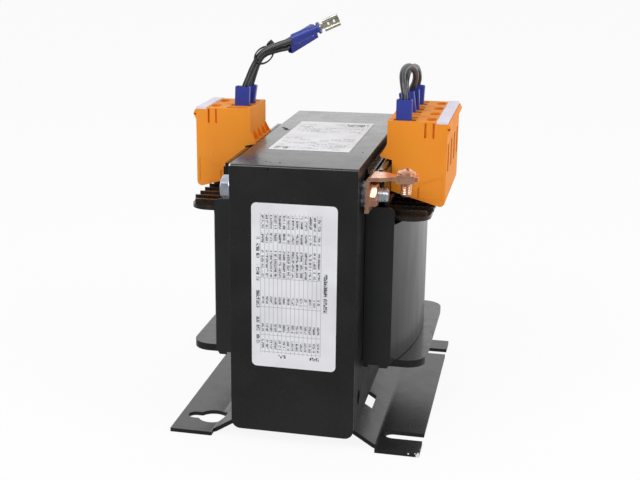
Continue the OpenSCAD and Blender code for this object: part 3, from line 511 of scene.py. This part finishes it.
def printed_label(name, print_ink, ground):
    """Satin foil label with a generic print; print_ink gives the ink mask."""
    paper = Finish(name)
    ink = print_ink(paper)
    tone = paper.mix(paper.noise(45, 2).fade(0.3, 0.8), linear(ground), linear("#d6d6da"))
    tone = paper.mix(ink, tone, linear("#2a2a2d"))
    height = paper.noise(70, 2) * 1.2 + paper.noise(1800, 1) * 0.1
    paper.set(
        Base_Color=tone, Roughness=0.32 + ink * 0.25 + paper.noise(200, 2).fade(0.3, 0.8) * 0.1,
        Normal=paper.bump(height, 0.03),
    )
    return paper.material


# print of the front label: a table read from the right, its columns along X and rows along Z
TABLE_X, COLUMN_W, COLUMNS = -19.1, 2.6, 14
TABLE_LOW, TABLE_HIGH = 58.5, 145.6
CROSS_RULES, RULE_W = (105.8, 87.8, 70.2, 59.4), 0.2
ROWS = ((136.2, 144.6), (127.5, 133.8), (106.6, 123), (89.6, 94.6), (72.4, 77.4), (61.2, 67.2))
HEADING_X = (-21.7, -19.7)
HEADINGS = ((118, 131), (103.5, 114), (85.5, 98), (72.4, 81.6), (63, 70))
NOTE_X, NOTE_Z = (18.9, 21.1), (86.5, 110.5)
FOOT_LINE_Z, FOOT_WORDS = (55.8, 58), ((-8.2, -3.6), (10.8, 16.5))
CELL_PRINT, LINE_PRINT = 1.5, 2.2


def front_print(paper):
    """A ruled table of fourteen columns with strokes between the rules, and loose lines."""
    x, z = paper.axis("X"), paper.axis("Z")
    column = ((x - TABLE_X) / COLUMN_W).from_middle()
    inside = x.band(TABLE_X - 0.1, TABLE_X + COLUMNS * COLUMN_W + 0.1)
    rules = column.fade(0.45, 0.475) * inside * z.band(TABLE_LOW, TABLE_HIGH)
    cross_rules = z.bands([(low, low + RULE_W) for low in CROSS_RULES]) * inside
    cells = column.fade(0.3, 0.24) * inside * z.bands(ROWS, 0.2)
    headings = x.band(*HEADING_X, 0.15) * z.bands(HEADINGS, 0.2)
    note = x.band(*NOTE_X, 0.15) * z.band(*NOTE_Z)
    foot_line = z.band(*FOOT_LINE_Z, 0.15) * x.bands(FOOT_WORDS, 0.2)
    ink = cells * strokes(paper, z, x, CELL_PRINT, 3)
    ink = ink + (headings + note) * strokes(paper, z, x, LINE_PRINT, 8)
    ink = ink + foot_line * strokes(paper, x, z, LINE_PRINT, 15)
    return (ink + (rules + cross_rules) * 0.7).least(1.0)


# print of the top label: lines along X, one behind the other along Y
LINE_PITCH, FIRST_LINE = 3.6, -50
WORD_W, WORD_PRINT, BLOCK_PRINT = 6.5, 2, 3
LINES_X, LINES_Y = (-23, 21.5), ((-46, -6), (12, 44))
FRONT_BLOCK = (-23.5, -15), (-47.5, -40)
REAR_BLOCK = (7, 22), (36.5, 45)


def top_print(paper):
    """Lines of strokes and two blocks, laid across the label."""
    x, y = paper.axis("X"), paper.axis("Y")
    row = (y - FIRST_LINE) / LINE_PITCH
    shown = paper.chance(x / WORD_W + 4, row) > 0.5
    words = row.from_middle().fade(0.28, 0.2) * shown * strokes(paper, x, y, WORD_PRINT, 11)
    zone = x.band(*LINES_X) * y.bands(LINES_Y, 0.3)
    blocks = sum((x.band(*across) * y.band(*along) for across, along in (FRONT_BLOCK, REAR_BLOCK)), 0)
    return (words * zone * 0.75 + blocks * strokes(paper, x, y, BLOCK_PRINT, 5) * 0.9).least(1.0)


# finishes; marks, chips and painted highlights are each a place and a size, in millimetres
HOOD_FRONT = corners("hood")[0].y
HOOD_TOP = corners("hood")[1].z
HOOD_MARKS = (
    (-31.8, -31.9, HOOD_TOP, 0.9), (-18.2, -87.1, HOOD_TOP, 0.8), (-15.1, -89.8, HOOD_TOP, 0.6),
    (-9.6, -88.5, HOOD_TOP, 1.0), (-33.4, 25.4, HOOD_TOP, 1.6), (-31.4, 21.6, HOOD_TOP, 2.0),
    (-29.6, 17.6, HOOD_TOP, 2.1), (32.2, -47.8, HOOD_TOP, 0.8), (-14.5, HOOD_FRONT, 171.4, 0.6),
)
# painted highlight: the hood's top-left front corner catches the light, painted near-white as a chip
HOOD_CORNER_GLINT = ((-37.8, -97.4, 172.9, 0.9),)
RIGHT_FOOT_CHIPS = (
    (77.8, -97.9, 1.0, 2.0), (71.6, -98, 1.8, 0.55), (75.6, -98, 2.3, 0.45), (77.9, -92, 2.4, 0.5),
)
LEFT_FOOT_CHIPS = ((-77.9, -60, 2.4, 0.4),)

finishes = {
    "hood": black_lacquer("hood_lacquer", "#19191a", 0.24, 0.35, HOOD_CORNER_GLINT, HOOD_MARKS),
    # painted shade: the right foot has a darker, less glossy copy of the feet's lacquer, which
    # darkens the side that the side lamp lights
    "foot_right": black_lacquer("right_foot_lacquer_painted_shade", "#121214", 0.27, 0.1, RIGHT_FOOT_CHIPS),
    "foot_left": black_lacquer("left_foot_lacquer", "#151517", 0.27, 0.2, LEFT_FOOT_CHIPS),
    "coil_former": former_plastic(),
    "core": lamination(),
    "wrap": wrap_sheet(),
    "copper": winding_wire("winding_copper", "#a5552a"),
    "insulation": moulded_plastic("insulation_film", "#cdbd86", "#b9a66c", 0.5),
    "zinc": plated_metal("zinc_plating", "#e6eef8", "#c2cddd", 0.2, 0.76),
    "copper_plate": plated_metal("copper_plating", "#ffcbad", "#e6a683", 0.16, 0.82),
    "tin": plated_metal("tin_plating", "#dcd8ca", "#b9b4a6", 0.26),
    "orange": moulded_plastic("orange_polyamide", "#f69716", "#f08d14", 0.58, 0.02, 0.05),
    "blue": moulded_plastic("blue_vinyl", "#3442a4", "#2c3890", 0.3, 0.015, 0.04),
    "marker": moulded_plastic("marker_polyamide", "#e6e2ee", "#dad6e4", 0.45),
    "tie": moulded_plastic("tie_polyamide", "#2a2a2c", "#222224", 0.35),
    "wire": wire_sheath(),
    "front_label": printed_label("front_label_foil", front_print, "#e3e3e6"),
    "top_label": printed_label("top_label_foil", top_print, "#e9e9ec"),
}


def paint(obj, finish):
    """Gives a piece one finish in all its material slots."""
    obj.data.materials.clear()
    obj.data.materials.append(finishes[finish])


# pieces from the CAD solids: node, finish, record slot and edge rounding in millimetres
DRESSED = (
    ("hood", "hood", "black_lacquer", 0.25),
    ("foot_right", "foot_right", "black_lacquer", 0.4),
    ("foot_left", "foot_left", "black_lacquer", 0.4),
    ("coil_former", "coil_former", "former_plastic", 0.3),
    ("coil_wrap_right", "wrap", "wrap_sheet", 0.25),
    ("coil_wrap_left", "wrap", "wrap_sheet", 0.25),
    ("head_washers", "zinc", "zinc_steel", 0.25),
    ("lock_washers", "zinc", "zinc_steel", 0.12),
    ("earth_nut", "copper_plate", "copper_plating", 0.2),
    ("rear_nut", "zinc", "zinc_steel", 0.2),
    ("earth_bracket", "copper_plate", "copper_plating", 0.35),
    ("earth_clamp", "copper_plate", "copper_plating", 0.35),
    ("terminal_housing_right", "orange", "orange_plastic", 0.22),
    ("terminal_housing_left", "orange", "orange_plastic", 0.22),
    ("marker_strip_right", "marker", "marker_plastic", 0.12),
    ("marker_strip_left", "marker", "marker_plastic", 0.12),
    ("wire_clamps_right", "zinc", "zinc_steel", 0.2),
    ("wire_clamps_left", "zinc", "zinc_steel", 0.2),
    ("receptacle_sleeves_right", "blue", "blue_plastic", 0.3),
    ("receptacle_sleeves_left", "blue", "blue_plastic", 0.3),
    ("receptacles_right", "tin", "tinned_brass", 0.15),
    ("receptacles_left", "tin", "tinned_brass", 0.15),
    ("lead_end_sleeve_upper", "blue", "blue_plastic", 0.25),
    ("lead_end_sleeve_lower", "blue", "blue_plastic", 0.3),
    ("lead_end_receptacle_upper", "tin", "tinned_brass", 0.12),
    ("lead_end_receptacle_lower", "tin", "tinned_brass", 0.12),
    ("earth_screw", "copper_plate", "copper_plating", 0.3),
    ("clamp_bolts", "zinc", "zinc_steel", 0.3),
    ("cable_tie", "tie", "tie_plastic", 0.25),
)
SHARP = math.radians(24)
COPLANAR = math.radians(0.8)
SAME_POINT = 2e-6
ROUNDING_STEPS = 2


def softened(node, finish, slot, width):
    """A merged copy of a CAD node with its sharp edges rounded by width millimetres."""
    mesh = nodes[node].data.copy()
    for extra in ("custom_normal", "sharp_face", "sharp_edge"):
        if extra in mesh.attributes:
            mesh.attributes.remove(mesh.attributes[extra])
    piece = bpy.data.objects.new(node + "_dressed", mesh)
    scene.collection.objects.link(piece)
    shell = bmesh.new()
    shell.from_mesh(mesh)
    bmesh.ops.remove_doubles(shell, verts=shell.verts, dist=SAME_POINT)
    bmesh.ops.dissolve_limit(shell, angle_limit=COPLANAR, verts=shell.verts, edges=shell.edges)
    for edge in shell.edges:
        edge.smooth = edge.calc_face_angle(0) < SHARP
    for face in shell.faces:
        face.smooth = True
    shell.to_mesh(mesh)
    shell.free()
    rounding = piece.modifiers.new("rounding", "BEVEL")
    rounding.width = width * MM
    rounding.segments = ROUNDING_STEPS
    rounding.limit_method = "ANGLE"
    rounding.angle_limit = SHARP
    rounding.harden_normals = True
    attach(piece, "root")
    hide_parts(node)
    paint(piece, finish)
    return piece


dressed = {row[0]: softened(*row) for row in DRESSED}

# nodes that keep their own mesh, with the finish of each
AS_MADE = {
    "core_e_stack": "core", "core_i_stack": "core", "primary_winding": "copper",
    "secondary_winding": "copper", "winding_insulation": "insulation",
    "lead_outs_right": "copper", "lead_outs_left": "copper",
    "contact_bars_right": "tin", "contact_bars_left": "tin",
    "pole_screws_right": "zinc", "pole_screws_left": "zinc",
    "front_label": "front_label", "top_label": "top_label",
}
for node, finish in AS_MADE.items():
    paint(nodes[node], finish)

# threads, in millimetres, with the plain stretch before each and the depth and height of a ridge
STUD_R, STUD_PITCH, STUD_THREAD = 4.0, 1.25, 3.9
SCREW_R, SCREW_PITCH, SCREW_THREAD = 3.0, 1.0, 7.1
STUD_FREE, SCREW_FREE = 0.1, 0.8
ROOT_SUNK, CREST_OUT = 0.05, 0.2
THREAD_STEPS = 32


def add_thread(name, start, way, radius, pitch, length, finish):
    """A rolled thread: the profile of one turn wound along its axis, in millimetres."""
    ridge = bmesh.new()
    root, crest = radius - ROOT_SUNK, radius + CREST_OUT
    flank = ((root, 0), (crest, pitch / 2), (root, pitch))
    points = [ridge.verts.new((r * MM, 0, z * MM)) for r, z in flank]
    lines = [ridge.edges.new(pair) for pair in zip(points, points[1:])]
    turns = length / pitch - 1
    steps = round(turns * THREAD_STEPS)
    bmesh.ops.spin(
        ridge, geom=points + lines, cent=(0, 0, 0), axis=(0, 0, 1),
        dvec=(0, 0, turns * pitch * MM / steps), angle=2 * math.pi * turns, steps=steps,
    )
    bmesh.ops.remove_doubles(ridge, verts=ridge.verts, dist=SAME_POINT)
    bmesh.ops.recalc_face_normals(ridge, faces=ridge.faces)
    place = Vector(way).to_track_quat("Z", "Y").to_matrix().to_4x4()
    place.translation = start * MM
    bmesh.ops.transform(ridge, matrix=place, verts=ridge.verts)
    mesh = bpy.data.meshes.new(name)
    ridge.to_mesh(mesh)
    ridge.free()
    thread = bpy.data.objects.new(name, mesh)
    scene.collection.objects.link(thread)
    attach(thread, "root")
    paint(thread, finish)


def add_stud_thread(name, nut, finish):
    """The thread of a clamping bolt, from the outer face of its nut."""
    at = middle(nut)
    start = Vector((corners(nut)[1].x + STUD_FREE, at.y, at.z))
    add_thread(name, start, (1, 0, 0), STUD_R, STUD_PITCH, STUD_THREAD, finish)


def add_earth_thread():
    """The thread of the earth screw, from near its lower end up to the bracket."""
    at = middle("earth_clamp")
    start = Vector((at.x, at.y, corners("earth_screw")[0].z + SCREW_FREE))
    add_thread(
        "earth_screw_thread", start, (0, 0, 1), SCREW_R, SCREW_PITCH, SCREW_THREAD,
        "copper_plate",
    )


add_stud_thread("front_stud_thread", "earth_nut", "zinc")
add_stud_thread("rear_stud_thread", "rear_nut", "zinc")
add_earth_thread()

far_pieces = {
    "free_lead_upper": [
        dressed["lead_end_sleeve_upper"], dressed["lead_end_receptacle_upper"],
        dressed["cable_tie"],
    ],
    "free_lead_lower": [dressed["lead_end_sleeve_lower"], dressed["lead_end_receptacle_lower"]],
}
for name, (wire, exit_point, length) in wires.items():
    paint(wire, "wire")
    "connector" if name in far_pieces else "object"


# studio: how bright the room is in front and behind, and the floor's size in metres
MIRRORED_ROOM = (0.16, 1.08)
LIT_ROOM = (0.45, 0.8)
FLOOR_FADE = (-300, 900)
SKY_FADE = (-0.4, 0.9)
FLOOR_REACH, FLOOR_Z = 30, -0.0002


def add_floor():
    """A pale floor that reaches past every view."""
    shell = bmesh.new()
    bmesh.ops.create_grid(shell, x_segments=1, y_segments=1, size=FLOOR_REACH)
    bmesh.ops.translate(shell, verts=shell.verts, vec=(0, 0, FLOOR_Z))
    mesh = bpy.data.meshes.new("floor")
    shell.to_mesh(mesh)
    shell.free()
    floor = bpy.data.objects.new("floor", mesh)
    scene.collection.objects.link(floor)
    card = Finish("floor_card")
    tone = card.mix(card.noise(2.0, 2).fade(0.2, 0.9), linear("#f6f6f7"), linear("#f3f3f4"))
    card.set(Base_Color=tone, Roughness=0.75)
    room = card.blend(card.axis("Y").fade(*FLOOR_FADE), *(card.glow(s) for s in MIRRORED_ROOM))
    white = card.blend(card.rays("Is Camera Ray") * 0.9, card.plain(), card.glow(1.0))
    card.surface(card.blend(card.rays("Is Glossy Ray"), white, room))
    mesh.materials.append(card.material)


def add_world():
    """A pale room; mirrored surfaces see it dim in front and bright behind."""
    world = bpy.data.worlds.new("studio")
    scene.world = world
    world.use_nodes = True
    sky = Shading(world.node_tree)
    around = sky.node("ShaderNodeTexCoord", output="Generated")
    behind = sky.node("ShaderNodeSeparateXYZ", None, {0: around}, "Y")
    lit, mirrored = (behind.fade(*SKY_FADE, *room) for room in (LIT_ROOM, MIRRORED_ROOM))
    level = sky.node("ShaderNodeMix", None, {0: sky.rays("Is Glossy Ray"), 2: lit, 3: mirrored})
    strength = sky.node("ShaderNodeMix", None, {0: sky.rays("Is Camera Ray"), 2: level, 3: 1.0})
    background = world.node_tree.nodes["Background"]
    sky.feed(background.inputs["Color"], (1, 1, 1, 1))
    sky.feed(background.inputs["Strength"], strength)


def add_lamp(name, power, size, place, target):
    """A soft rectangular lamp that the camera doesn't see."""
    light = bpy.data.lights.new(name, "AREA")
    light.shape = "RECTANGLE"
    light.size, light.size_y = size
    light.energy = power
    lamp = bpy.data.objects.new(name, light)
    lamp.location = place
    lamp.rotation_euler = (Vector(target) - Vector(place)).to_track_quat("-Z", "Y").to_euler()
    lamp.visible_camera = False
    scene.collection.objects.link(lamp)


add_floor()
add_world()
add_lamp("key", 15, (1.2, 1.0), (-0.7, -1.1, 1.3), (0, 0, 0.1))
add_lamp("side", 8, (0.9, 0.9), (1.3, -0.4, 0.9), (0, 0, 0.12))
